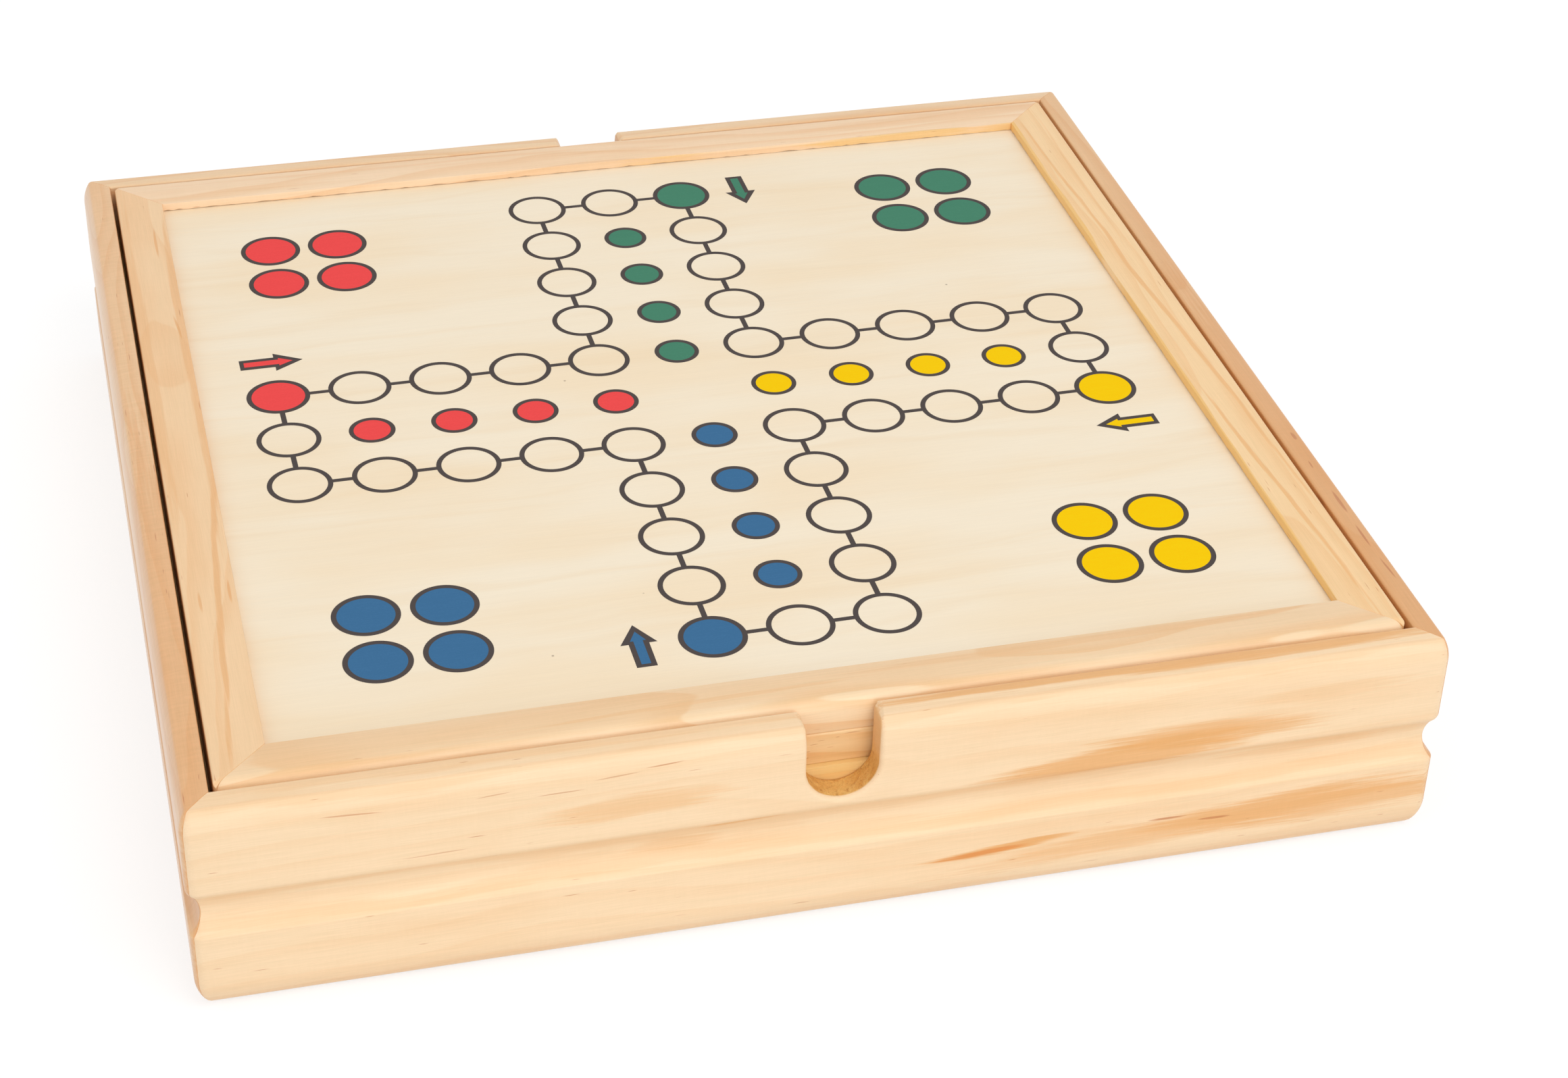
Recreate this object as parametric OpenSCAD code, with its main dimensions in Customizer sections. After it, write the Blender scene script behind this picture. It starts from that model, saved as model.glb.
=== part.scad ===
// A square wooden board game box with moulded walls. Two framed boards lie
// one on the other inside the walls and close it: the ludo board on top and
// a chequered board under it. Below them are six bins with the pawns, the
// dice and the draughtsmen. A finger notch in the front and in the back wall
// lets a fingertip lift the boards out.
// The origin is the middle of the underside, the front faces -Y and Z is up.

/* [Walls] */
// Outer width and depth of the square box
box_w = 307; // [280:1:380]
// Height of the walls
wall_h = 60; // [56:1:80]
// Thickness of the walls
wall_t = 7.8; // [7:0.1:12]
// Radius of the rounded upper and lower outer edges
edge_r = 12; // [10:0.5:14]
// Height at which the lower rounding starts
foot_round_h = 10; // [6:0.5:11]
// Depth below the wall top at which the upper rounding starts
top_round_h = 7; // [5:0.5:9]
// Width of the slightly sloping band on the wall top
bevel_w = 5.9; // [3:0.1:6.5]
// How far that band drops at the outer face
bevel_drop = 0.6; // [0.2:0.1:1.5]
// Radius of the inner upper arris
arris_r = 0.6; // [0.2:0.1:1.5]

/* [Cove] */
// Height of the middle of the cove that runs round the box
cove_h = 29.8; // [26:0.1:32]
// Radius of the cove
cove_r = 8; // [6:0.5:12]
// Depth of the cove
cove_d = 3; // [1:0.1:3.4]
// Radius of the lip above the cove
upper_lip_r = 2.5; // [0.5:0.1:3]
// Radius of the lip below the cove
lower_lip_r = 0.8; // [0.4:0.1:3]

/* [Finger notch] */
// Width of the notch
notch_w = 17.8; // [15:0.1:30]
// Depth of the notch below the wall top
notch_d = 21.8; // [15:0.1:24]
// Radius of the shoulders at the notch mouth
shoulder_r = 2.2; // [0.5:0.1:4]

/* [Base] */
// Height of the underside of the base panel
base_lift = 4; // [2:0.5:6]
// Thickness of the base panel
base_t = 4; // [3:0.5:6]
// Depth of the groove that holds the base panel
base_groove_d = 3.8; // [2:0.1:4.4]

/* [Bins] */
// Thickness of the liner strips that carry the boards
liner_t = 4; // [3:0.5:6]
// Thickness of the bin dividers
divider_t = 4; // [3:0.5:6]
// Gap between the dividers and the boards above them
divider_gap = 4; // [2:0.5:8]
// Depth of the housings that hold the divider ends
housing_d = 1.5; // [1:0.1:2]
// Clear width of the bins along the left and right walls
side_bin_w = 68.7; // [64:0.1:75]

/* [Boards] */
// Thickness of a framed board
board_t = 9; // [8:0.1:11]
// Gap between a board's edge and the wall beside it
board_gap = 1.2; // [0.5:0.1:2]
// How far the ludo board stands above the wall top
board_proud = 0.3; // [0:0.1:2]
// Width of a frame rail
rail_w = 13; // [10:0.5:18]
// Radius of the upper front edge of the ludo board
ludo_front_edge_r = 3; // [1:0.1:4]
// Radius of the ludo board's other outer upper edges
ludo_edge_r = 0.6; // [0.3:0.1:0.9]
// Radius of the outer upper edge of the chequered board
chequer_edge_r = 0.6; // [0.3:0.1:3]
// Radius of the boards' upright corners
board_corner_r = 1.8; // [0.5:0.1:4]
// Depth of the panels below the top of their frames
panel_recess = 2.5; // [1:0.1:3]
// Thickness of the panels
panel_t = 3; // [2:0.1:4]
// Depth of the groove that holds a panel's edge
panel_groove_d = 5; // [3:0.5:7]

/* [Pawns] */
// Height of a pawn
pawn_h = 24; // [20:0.5:28]
// Radius of a pawn's foot
pawn_foot_r = 6.5; // [5:0.1:7]
// Radius of a pawn's head
pawn_head_r = 4.2; // [3:0.1:5]
// Radius of the rounded rim of the foot
pawn_rim_r = 1.1; // [0.5:0.1:1.5]
// Radius of a pawn's neck
pawn_neck_r = 2.4; // [1.5:0.1:2.8]
// Distance between pawns that lie side by side
pawn_pitch = 15; // [14:0.1:16]

/* [Dice] */
// Width of a die
die_w = 14; // [10:0.5:16]
// Radius of the ball that rounds the corners of a die
die_ball_r = 10; // [9.5:0.1:10.4]
// Radius of the cutter that makes a spot
spot_r = 1.5; // [1:0.1:2]
// Depth of a spot
spot_d = 0.5; // [0.2:0.1:0.8]

/* [Draughtsmen] */
// Radius of a draughtsman
man_r = 12; // [10:0.5:13]
// Thickness of a draughtsman
man_t = 6; // [4:0.5:6.5]
// Radius of the rounded rim
man_rim_r = 1; // [0.3:0.1:1.5]
// Radius at which the turned ring runs
man_ring_r = 8; // [5:0.5:9]
// Radius of the groove of the turned ring
man_groove_r = 0.8; // [0.3:0.1:1]
// Draughtsmen in a stack
stack_n = 4; // [1:1:4]
// Distance between the stacks
stack_pitch = 27; // [25:0.5:30]

/* [Clearances] */
// Gap past the edge of a panel in its groove
edge_play = 0.3; // [0.1:0.1:1]
// Gap beside a panel or a divider in its slot
slot_play = 0.1; // [0.05:0.05:0.3]
// Gap under a pawn's rim and head
seat_play = 0.3; // [0.1:0.1:0.5]
// Gap between two draughtsmen in a stack
stack_play = 0.1; // [0.05:0.05:0.3]

/* [Hidden] */
$fn = 72;

// Turns about Z that carry a front piece to each side
FRONT = 0;
RIGHT = 90;
BACK = 180;
LEFT = 270;

pine = "burlywood";
plywood = "blanchedalmond";
past = 1; // how far a cutter runs past the face that it opens

box_half = box_w / 2;
inner_half = box_half - wall_t;
bin_half = inner_half - liner_t;
base_top = base_lift + base_t;

// The two boards fill the height above the liner strips
board_half = inner_half - board_gap;
liner_top = wall_h + board_proud - 2 * board_t;
chequer_z = liner_top;
ludo_z = liner_top + board_t;
panel_lift = board_t - panel_recess - panel_t;
panel_half = board_half - rail_w + panel_groove_d - edge_play;

divider_h = liner_top - base_top - divider_gap;
divider_x = bin_half - side_bin_w - divider_t / 2;
divider_half = bin_half + housing_d - edge_play;
slot_w = divider_t + 2 * slot_play;

notch_r = notch_w / 2;
cove_out = cove_r - cove_d; // the middle of the cove lies this far outside the face

// A pawn that lies down touches with its rim and its head
pawn_head_z = pawn_h - pawn_head_r;
pawn_ring_r = pawn_foot_r - pawn_rim_r;
pawn_rise = pawn_head_z - pawn_rim_r;
pawn_lean = acos((pawn_head_r - pawn_rim_r) / norm([pawn_ring_r, pawn_rise]))
    - atan2(pawn_rise, pawn_ring_r);
pawn_z = base_top + seat_play + pawn_rim_r
    + pawn_ring_r * cos(pawn_lean) + pawn_rim_r * sin(pawn_lean);
pawn_turns = [86, 273, 92, 268]; // head to tail, a little askew
bin_margin = 6; // from the pieces to the end of their bin
pawn_x = bin_half - side_bin_w / 2;
pawn_y = bin_half - bin_margin - pawn_h / 2;

spot_pitch = die_w / 4;
die_places = [[-22, 96, 20], [9, 84, -32]]; // x, y and turn of each die

men = 12; // draughtsmen of each colour
stack_rows = ceil(men / stack_n);
stack_y = bin_half - bin_margin - man_r;

// The corner between the x axis and the y axis, outside a quarter round
module round_off(r) {
    translate([-past, -past]) difference() {
        square(r + past);
        translate([r + past, r + past]) circle(r);
    }
}

// What a lip loses where the cove meets the outer face. The round touches
// the face and the cove, so its middle is r + cove_r from the cove's middle.
module lip_cut(r) {
    rise = sqrt(pow(cove_r + r, 2) - pow(cove_out + r, 2));
    touch = cove_r / (cove_r + r);
    difference() {
        polygon([
            [-cove_out, 0],
            [-cove_out + touch * (cove_out + r), touch * rise],
            [0, rise],
            [-cove_out, rise]
        ]);
        translate([r, rise]) circle(r);
    }
}

// Section of a wall: x runs inwards from the outer face, y is the height
module wall_section() {
    difference() {
        square([wall_t, wall_h]);
        difference() {
            translate([-past, -past]) square([edge_r + past, foot_round_h + past]);
            translate([edge_r, foot_round_h]) circle(edge_r);
        }
        difference() {
            translate([-past, wall_h - top_round_h]) square([edge_r + past, top_round_h + past]);
            translate([edge_r, wall_h - top_round_h]) circle(edge_r);
        }
        polygon([
            [0, wall_h - bevel_drop],
            [bevel_w, wall_h],
            [bevel_w, wall_h + past],
            [0, wall_h + past]
        ]);
        translate([wall_t, wall_h]) rotate(180) round_off(arris_r);
        translate([-cove_out, cove_h]) circle(cove_r);
        translate([0, cove_h]) lip_cut(upper_lip_r);
        translate([0, cove_h]) mirror([0, 1]) lip_cut(lower_lip_r);
        translate([wall_t - base_groove_d, base_lift])
            square([base_groove_d + past, base_t + slot_play]);
    }
}

// Section of a frame rail, from its outer face inwards and from its underside up
module rail_section(round_r) {
    difference() {
        square([rail_w, board_t]);
        translate([0, board_t]) mirror([0, 1]) round_off(round_r);
        translate([rail_w - panel_groove_d, panel_lift])
            square([panel_groove_d + past, panel_t + slot_play]);
    }
}

// A bar along the front of a square, with its section as the child. It is mitred
// at both ends, where the square's corners can be rounded.
module mitred_bar(half, height, round_r = 0) {
    intersection() {
        translate([-half, -half, 0]) rotate([90, 0, 90]) linear_extrude(2 * half) children();
        linear_extrude(height) difference() {
            polygon([[0, 0], [-half, -half], [half, -half]]);
            if (round_r > 0)
                for (side = [0, 1]) mirror([side, 0]) translate([-half, -half]) round_off(round_r);
        }
    }
}

module notch() {
    translate([0, -inner_half + past, wall_h - notch_d])
        rotate([90, 0, 0])
            linear_extrude(wall_t + 2 * past) {
                translate([0, notch_r]) circle(notch_r);
                translate([-notch_r, notch_r]) square([notch_w, notch_d]);
                for (side = [0, 1]) mirror([side, 0])
                    translate([notch_r, notch_d]) mirror([0, 1]) round_off(shoulder_r);
            }
}

module wall(turn, notched = false) {
    color(pine) rotate(turn) difference() {
        mitred_bar(box_half, wall_h) wall_section();
        if (notched) notch();
    }
}

module base_panel() {
    half = inner_half + base_groove_d - edge_play;
    color(plywood) translate([-half, -half, base_lift]) cube([2 * half, 2 * half, base_t]);
}

// A strip along one wall. The boards rest on it, and its housings hold divider ends.
module liner(turn, half, housings) {
    color(pine) rotate(turn) difference() {
        translate([-half, -inner_half, base_top]) cube([2 * half, liner_t, liner_top - base_top]);
        for (x = housings)
            translate([x - slot_w / 2, -bin_half - housing_d, base_top - past])
                cube([slot_w, housing_d + past, divider_h + past]);
    }
}

module long_liner(turn) {
    liner(turn, inner_half, [-divider_x, divider_x]);
}

module short_liner(turn) {
    liner(turn, bin_half, [0]);
}

// A divider that runs from front to back. Its slot takes the upper half of the cross divider.
module long_divider(x) {
    color(pine) difference() {
        translate([x - divider_t / 2, -divider_half, base_top])
            cube([divider_t, 2 * divider_half, divider_h]);
        translate([x - divider_t, -slot_w / 2, base_top + divider_h / 2])
            cube([2 * divider_t, slot_w, divider_h]);
    }
}

module cross_divider() {
    color(pine) difference() {
        translate([-divider_half, -divider_t / 2, base_top])
            cube([2 * divider_half, divider_t, divider_h]);
        for (x = [-divider_x, divider_x])
            translate([x - slot_w / 2, -divider_t, base_top - divider_h / 2])
                cube([slot_w, 2 * divider_t, divider_h]);
    }
}

module rail(turn, z, round_r) {
    color(pine) rotate(turn) translate([0, 0, z])
        mitred_bar(board_half, board_t, board_corner_r) rail_section(round_r);
}

// A side rail of the ludo board. The round of the board's front edge runs on across its end.
module ludo_side_rail(turn) {
    color(pine) difference() {
        rotate(turn) translate([0, 0, ludo_z])
            mitred_bar(board_half, board_t, board_corner_r) rail_section(ludo_edge_r);
        translate([-board_half - past, -board_half, ludo_z + board_t]) rotate([90, 0, 90])
            linear_extrude(2 * (board_half + past)) mirror([0, 1]) round_off(ludo_front_edge_r);
    }
}

module panel(z) {
    color(plywood) translate([-panel_half, -panel_half, z + panel_lift])
        cube([2 * panel_half, 2 * panel_half, panel_t]);
}

// A turned pawn, standing on the origin
module pawn() {
    rotate_extrude() {
        square([pawn_ring_r, 2 * pawn_rim_r]);
        translate([pawn_ring_r, pawn_rim_r]) circle(pawn_rim_r);
    }
    cylinder(h = pawn_head_z, r1 = pawn_ring_r, r2 = pawn_neck_r);
    translate([0, 0, pawn_head_z]) sphere(pawn_head_r);
}

// Four pawns that lie side by side near the end of a side bin
module pawns(paint, side, end) {
    color(paint) for (i = [0 : len(pawn_turns) - 1])
        translate([side * pawn_x + (i - 1.5) * pawn_pitch, end * pawn_y, pawn_z])
            rotate(pawn_turns[i])
                translate([-pawn_h / 2, 0, 0]) rotate([0, 90 + pawn_lean, 0]) pawn();
}

// The cutters for n spots on the upper face of a die
module spots(n) {
    places = concat(
        n % 2 == 1 ? [[0, 0]] : [],
        n > 1 ? [[-1, -1], [1, 1]] : [],
        n > 3 ? [[-1, 1], [1, -1]] : [],
        n == 6 ? [[-1, 0], [1, 0]] : []
    );
    for (p = places)
        translate([p.x * spot_pitch, p.y * spot_pitch, die_w / 2 + spot_r - spot_d]) sphere(spot_r);
}

// A die with its middle at the origin. Opposite faces add up to seven.
module die() {
    difference() {
        intersection() {
            cube(die_w, center = true);
            sphere(die_ball_r);
        }
        spots(5);
        rotate([180, 0, 0]) spots(2);
        rotate([90, 0, 0]) spots(1);
        rotate([-90, 0, 0]) spots(6);
        rotate([0, 90, 0]) spots(4);
        rotate([0, -90, 0]) spots(3);
    }
}

module dice() {
    color("ivory") for (p = die_places)
        translate([p.x, p.y, base_top + die_w / 2]) rotate(p.z) die();
}

module draughtsman() {
    rotate_extrude() difference() {
        union() {
            square([man_r - man_rim_r, man_t]);
            translate([0, man_rim_r]) square([man_r, man_t - 2 * man_rim_r]);
            for (y = [man_rim_r, man_t - man_rim_r])
                translate([man_r - man_rim_r, y]) circle(man_rim_r);
        }
        for (y = [0, man_t]) translate([man_ring_r, y]) circle(man_groove_r);
    }
}

// The men of one colour, in a row of stacks across the front middle bin
module draughtsmen(paint, row) {
    color(paint) for (k = [0 : men - 1]) {
        column = floor(k / stack_n);
        level = k % stack_n;
        translate([
            (column - (stack_rows - 1) / 2) * stack_pitch,
            -stack_y + row * stack_pitch,
            base_top + level * (man_t + stack_play)
        ]) draughtsman();
    }
}

wall(FRONT, notched = true);  // front_wall
wall(BACK, notched = true);  // back_wall
wall(LEFT);  // left_wall
wall(RIGHT);  // right_wall
base_panel();
long_liner(FRONT);  // front_liner
long_liner(BACK);  // back_liner
short_liner(LEFT);  // left_liner
short_liner(RIGHT);  // right_liner
long_divider(-divider_x);  // left_divider
long_divider(divider_x);  // right_divider
cross_divider();
rail(FRONT, ludo_z, ludo_front_edge_r);  // ludo_front_rail
rail(BACK, ludo_z, ludo_edge_r);  // ludo_back_rail
ludo_side_rail(LEFT);  // ludo_left_rail
ludo_side_rail(RIGHT);  // ludo_right_rail
panel(ludo_z);  // ludo_panel
rail(FRONT, chequer_z, chequer_edge_r);  // chequer_front_rail
rail(BACK, chequer_z, chequer_edge_r);  // chequer_back_rail
rail(LEFT, chequer_z, chequer_edge_r);  // chequer_left_rail
rail(RIGHT, chequer_z, chequer_edge_r);  // chequer_right_rail
panel(chequer_z);  // chequer_panel
pawns("indianred", -1, 1);  // red_pawns
pawns("seagreen", 1, 1);  // green_pawns
pawns("gold", 1, -1);  // yellow_pawns
pawns("steelblue", -1, -1);  // blue_pawns
dice();
draughtsmen("wheat", 0);  // light_draughtsmen
draughtsmen("saddlebrown", 1);  // dark_draughtsmen
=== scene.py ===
"""The looks of the wooden game box: walls, boards, print, spots, materials, light and camera."""
import math

import bmesh
import bpy
import numpy as np
from mathutils import Matrix, Vector


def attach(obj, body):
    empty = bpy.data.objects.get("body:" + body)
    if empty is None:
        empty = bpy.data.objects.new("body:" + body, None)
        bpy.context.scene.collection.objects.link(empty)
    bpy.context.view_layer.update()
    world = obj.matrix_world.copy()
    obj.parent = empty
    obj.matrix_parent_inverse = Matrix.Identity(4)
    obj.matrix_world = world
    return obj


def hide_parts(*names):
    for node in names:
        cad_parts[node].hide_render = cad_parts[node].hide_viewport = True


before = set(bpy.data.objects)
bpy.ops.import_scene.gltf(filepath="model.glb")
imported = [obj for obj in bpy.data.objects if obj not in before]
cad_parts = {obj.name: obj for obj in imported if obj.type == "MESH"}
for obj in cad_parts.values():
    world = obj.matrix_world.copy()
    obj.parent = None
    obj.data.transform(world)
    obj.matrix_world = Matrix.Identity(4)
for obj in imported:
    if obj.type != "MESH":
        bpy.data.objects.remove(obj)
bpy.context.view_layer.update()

MM = 0.001

# Sizes in millimetres, as the CAD model has them. TOP_ROUND_END is an angle in degrees
BOX_HALF = 153.5
WALL_H = 60.0
WALL_T = 7.8
EDGE_R = 12.0
FOOT_ROUND_H = 10.0
FOOT_EASE = 0.4
TOP_ROUND_H = 7.0
BEVEL_W = 5.9
BEVEL_DROP = 0.6
BEVEL_START = 2.9
TOP_ROUND_END = 148.8
CREASE = (1.983, 59.602)
ARRIS_R = 0.6
GROOVE_TOP = 8.1
GROOVE_BOTTOM = 4.0
GROOVE_FLOOR = 4.0
COVE_H = 29.8
COVE_R = 8.0
COVE_D = 3.0
UPPER_LIP_R = 2.5
LOWER_LIP_R = 0.8
NOTCH_R = 8.9
NOTCH_D = 21.8
SHOULDER_R = 2.2
NOTCH_BOTTOM = WALL_H - NOTCH_D
NOTCH_MIDDLE = NOTCH_BOTTOM + NOTCH_R
MOUTH = WALL_H - SHOULDER_R
OUTER_ARRIS = 1.25
INNER_ARRIS = 0.7
BOARD_HALF = 144.5
BOARD_T = 9.0
BOARD_CORNER_R = 1.8
FRONT_EDGE_R = 3.0
EDGE_ARRIS_R = 0.6
RAIL_W = 13.0
PANEL_LIFT = 3.5
PANEL_SLOT = 3.1
PANEL_GROOVE_D = 5.0
LUDO_Z = 51.3
CHEQUER_Z = 42.3
PANEL_TOP = PANEL_LIFT + 3.0
DIE_W = 14.0
# The walls' upright corners are rounded in the looks only
CORNER_R = 3.0
# The torn lower edge of a rail: distance between bites, and the deepest bite
TEAR_STEP = 1.6
TEAR_H = 0.38
# Every mitre narrows by this much at its end, so that two bars meet in a fine joint
MITRE_V = 0.14

# Turns about Z, in degrees, that carry a front piece to each side
TURNS = {"front": 0, "right": 90, "back": 180, "left": 270}


def linear(red, green, blue):
    """A colour from screen values of 0 to 255."""
    out = []
    for value in (red, green, blue):
        c = value / 255
        out.append(c / 12.92 if c <= 0.04045 else ((c + 0.055) / 1.055) ** 2.4)
    return (*out, 1.0)


# Materials

def empty_tree(owner):
    owner.use_nodes = True
    owner.node_tree.nodes.clear()
    return owner.node_tree


def feed(tree, socket, value):
    """Links a socket to an input, or sets the input to a number or colour."""
    if isinstance(value, bpy.types.NodeSocket):
        tree.links.new(value, socket)
    else:
        socket.default_value = value


class Graph:
    """A short way to write the nodes of one material."""

    def __init__(self, name):
        self.material = bpy.data.materials.new(name)
        self.tree = empty_tree(self.material)
        self.output = self.add("ShaderNodeOutputMaterial")

    def add(self, kind, inputs=None, **settings):
        node = self.tree.nodes.new(kind)
        for key, value in settings.items():
            setattr(node, key, value)
        for key, value in (inputs or {}).items():
            feed(self.tree, node.inputs[key], value)
        return node

    def math(self, operation, a, b=0.0, c=0.0):
        return self.add("ShaderNodeMath", {0: a, 1: b, 2: c}, operation=operation).outputs[0]

    def times(self, a, b):
        return self.math("MULTIPLY", a, b)

    def vector(self, operation, a, b):
        return self.add("ShaderNodeVectorMath", {0: a, 1: b}, operation=operation).outputs[0]

    def smooth(self, value, low, high):
        """0 below low, 1 above high, smooth between. It falls where low is above high."""
        node = self.add("ShaderNodeMapRange", {"Value": value, "From Min": low, "From Max": high},
                        interpolation_type="SMOOTHSTEP")
        return node.outputs[0]

    def mix(self, share, a, b, blend="MIX"):
        node = self.add("ShaderNodeMix", {"Factor": share}, data_type="RGBA", blend_type=blend)
        feed(self.tree, node.inputs[6], a)
        feed(self.tree, node.inputs[7], b)
        return node.outputs[2]

    def tinted(self, color, tint):
        """A colour times another, given as three shares or as a socket."""
        if not isinstance(tint, bpy.types.NodeSocket):
            tint = (*tint, 1.0)
        return self.mix(1.0, color, tint, blend="MULTIPLY")

    def shaded(self, color, share, blue_share=None):
        """A colour made darker by a share that varies. Its blue can have a share of its own."""
        shares = {0: share, 1: share, 2: share if blue_share is None else blue_share}
        return self.tinted(color, self.add("ShaderNodeCombineColor", shares).outputs[0])

    def place(self, turn=0.0):
        """Millimetres along the grain (x), and across it (y and z)."""
        coordinates = self.add("ShaderNodeTexCoord").outputs["Object"]
        node = self.add("ShaderNodeMapping", {
            "Vector": coordinates, "Rotation": (0, 0, -math.radians(turn)), "Scale": (1000, 1000, 1000)})
        return node.outputs[0]

    def elsewhere(self, vector, seed):
        """The same directions in another part of the wood, which the seed draws."""
        far = tuple(float(v) for v in np.random.RandomState(seed).uniform(-400, 400, 3))
        return self.vector("ADD", vector, far)

    def stretch(self, vector, along, across, deep=None):
        """Coordinates for a pattern that is this many millimetres long, wide and deep."""
        return self.vector("MULTIPLY", vector, (1 / along, 1 / across, 1 / (deep or across)))

    def noise(self, vector, detail=2.0, roughness=0.5, output="Fac"):
        node = self.add("ShaderNodeTexNoise", {"Vector": vector, "Scale": 1.0, "Detail": detail,
                                               "Roughness": roughness})
        return node.outputs[output]

    def cells(self, vector):
        """Distance to the middle of the nearest cell, and a number drawn for that cell."""
        node = self.add("ShaderNodeTexVoronoi", {"Vector": vector, "Scale": 1.0})
        drawn = self.add("ShaderNodeSeparateColor", {0: node.outputs["Color"]}).outputs[0]
        return node.outputs["Distance"], drawn

    def bump(self, height, distance_mm, strength=1.0):
        inputs = {"Height": height, "Distance": distance_mm * MM, "Strength": strength}
        return self.add("ShaderNodeBump", inputs).outputs[0]

    def surface(self, color, normal=None, **values):
        """The finished material, with the other values on the shader's own sockets."""
        inputs = {"Base Color": color}
        for key, value in values.items():
            inputs[key.replace("_", " ").title().replace("Ior", "IOR")] = value
        if normal is not None:
            inputs["Normal"] = normal
        shader = self.add("ShaderNodeBsdfPrincipled", inputs)
        self.tree.links.new(shader.outputs[0], self.output.inputs[0])
        return self.material


PALE = linear(251, 223, 185)
BAND = linear(241, 193, 138)
HEART = linear(233, 170, 98)
FLECK = linear(190, 108, 52)
GOLD = linear(243, 198, 112)
AMBER = linear(226, 140, 62)


def growth_rings(g, at, moved, half, pith, rings):
    """The late wood of growth rings about a pith that lies beside the bar and wanders."""
    wander = g.noise(g.stretch(moved, 170, 45), detail=2.5, output="Color")
    wander = g.vector("SUBTRACT", wander, (0.5, 0.5, 0.5))
    wander = g.vector("MULTIPLY", wander, (0, 26, 26))
    bent = g.vector("ADD", g.vector("ADD", at, wander), (0, half - pith[0], -pith[1]))
    scale = 2 * math.pi / (20 * rings)
    values = {"Vector": bent, "Scale": scale, "Distortion": 0.6, "Detail": 2.0, "Detail Scale": 0.4}
    node = g.add("ShaderNodeTexWave", values, wave_type="RINGS", rings_direction="X", wave_profile="SAW")
    wave = node.outputs["Fac"]
    return g.times(g.smooth(wave, 0.40, 0.95), g.smooth(wave, 1.0, 0.95))


def marked(g, moved, parts, half, front, top, color):
    """The marks of one bar, a little bent and with frayed edges."""
    fray = g.noise(g.stretch(moved, 26, 0.9), detail=4.0, roughness=0.65)
    fray = g.math("MULTIPLY_ADD", fray, 2.4, -1.2)
    bend = g.math("MULTIPLY_ADD", g.noise(g.stretch(moved, 40, 40), detail=1.5), 3.0, -1.5)
    height = g.math("ADD", parts.outputs[2], bend)
    depth = g.math("ADD", g.math("ADD", parts.outputs[1], half), bend)
    for across, marks in ((height, front), (depth, top)):
        for x, middle, length, width, slope, share, tone in marks:
            along = g.math("SUBTRACT", parts.outputs[0], x)
            rise = g.math("SUBTRACT", across, g.math("MULTIPLY_ADD", along, slope, middle))
            along = g.math("POWER", g.math("ABSOLUTE", g.math("DIVIDE", along, length)), 2.0)
            rise = g.math("POWER", g.math("ABSOLUTE", g.math("DIVIDE", rise, width)), 2.0)
            reach = g.math("ADD", g.math("ADD", along, rise), fray)
            color = g.mix(g.times(g.smooth(reach, 1.3, 0.3), share), color, tone)
    return color


def flecked(g, moved, often, color):
    """Resin flecks: thin brown dashes along the grain, long ones and short ones, in loose crowds."""
    crowd = g.smooth(g.noise(g.stretch(moved, 70, 12), detail=1.0), 0.38, 0.62)
    for length, width, size, share in ((26.0, 1.5, 0.11, often), (12.0, 0.95, 0.13, often * 0.6)):
        away, drawn_cell = g.cells(g.stretch(moved, length, width))
        picked = g.math("LESS_THAN", drawn_cell, g.times(crowd, share))
        dash = g.times(g.smooth(away, size, size * 0.25), picked)
        color = g.mix(g.times(dash, 0.65), color, FLECK)
    return color


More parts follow.
